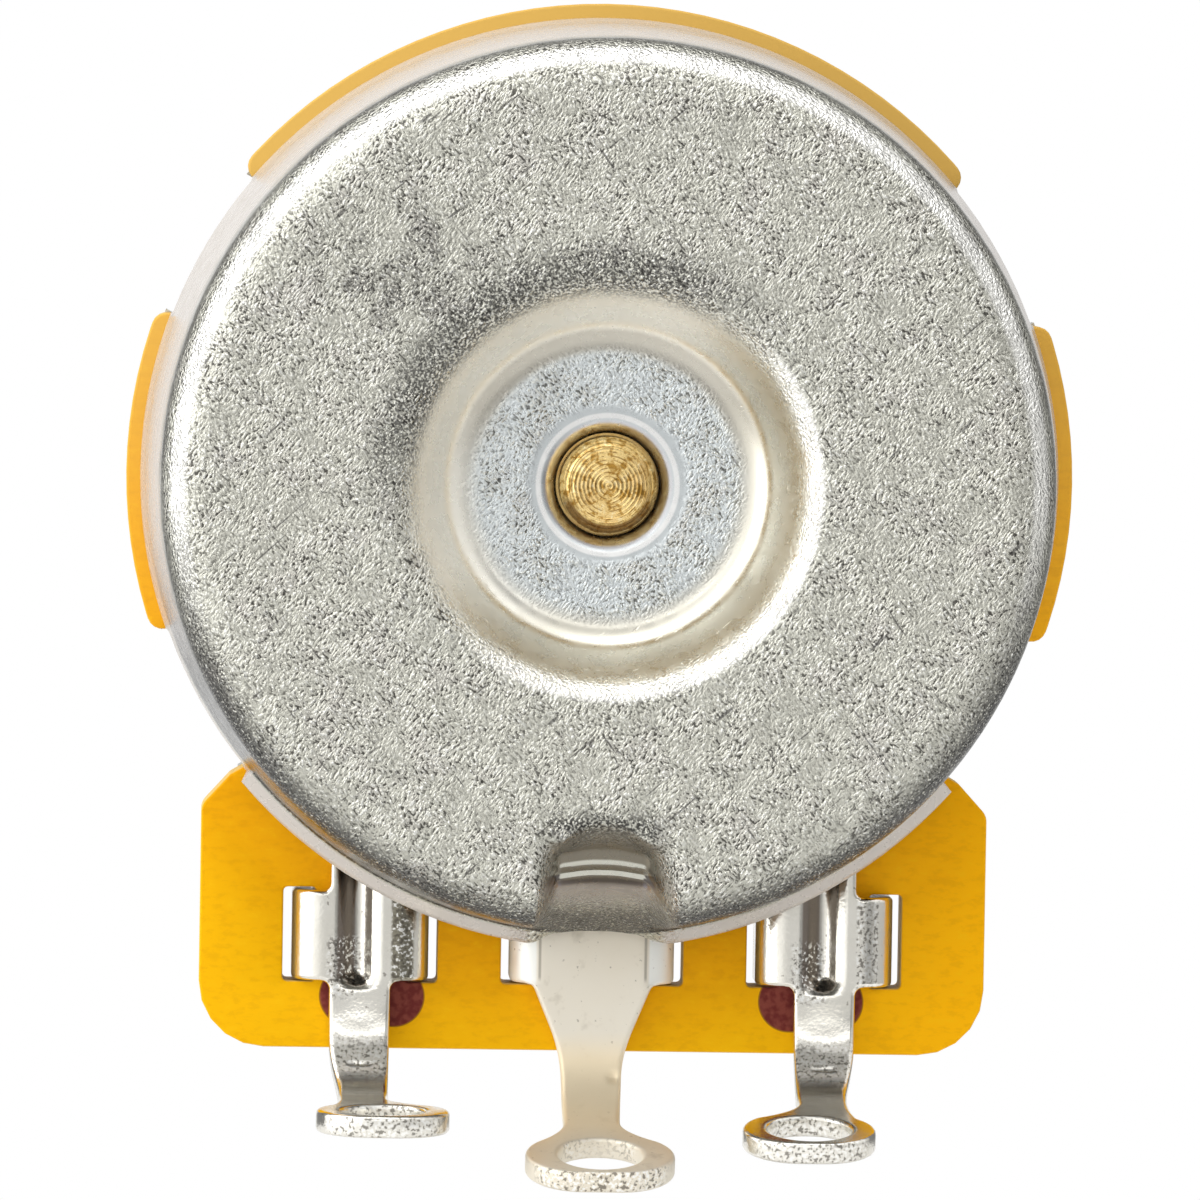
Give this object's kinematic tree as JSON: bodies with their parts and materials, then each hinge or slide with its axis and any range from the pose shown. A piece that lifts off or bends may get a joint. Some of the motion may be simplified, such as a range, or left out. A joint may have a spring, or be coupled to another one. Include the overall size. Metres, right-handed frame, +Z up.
{
  "type": "split shaft potentiometer",
  "caption": "Round metal cased panel potentiometer with a threaded bushing, a splined split shaft and solder lugs bent back along the case.",
  "frame": {"origin": "on the shaft axis, in the face of the front plate that seats on the panel", "axes": "+Y along the shaft towards the knob, +Z up, the solder lugs towards -Z"},
  "size_m": [0.0258, 0.0304, 0.032],
  "materials": {
    "zinc_plate": "zinc plated sheet, satin",
    "bushing_brass": "turned brass, dull nickel flash",
    "board_laminate": "yellow laminate, satin",
    "carbon_ink": "printed resistive ink, matte",
    "silver_ink": "printed silver ink",
    "tinned_lug": "tinned, bright",
    "shaft_brass": "turned brass",
    "spring_steel": "spring steel",
    "rotor_moulding": "moulded phenolic, matte",
    "wiper_bronze": "phosphor bronze spring"
  },
  "bodies": {
    "housing": {"cover": "zinc_plate", "front_plate": "zinc_plate", "bushing": "bushing_brass", "element_board": "board_laminate", "carbon_track": "carbon_ink", "collector_track": "silver_ink", "end_pad_left": "silver_ink", "end_pad_right": "silver_ink", "terminal_left": "tinned_lug", "terminal_centre": "tinned_lug", "terminal_right": "tinned_lug"},
    "turning": {"shaft": "shaft_brass", "retaining_washer": "spring_steel", "rotor": "rotor_moulding", "wiper": "wiper_bronze"}
  },
  "joints": [
    {"name": "shaft_turn", "type": "hinge", "parent": "housing", "child": "turning", "pos_m": [0, 0, 0], "axis": [0, 1, 0], "range_deg": [-150, 150]}
  ]
}
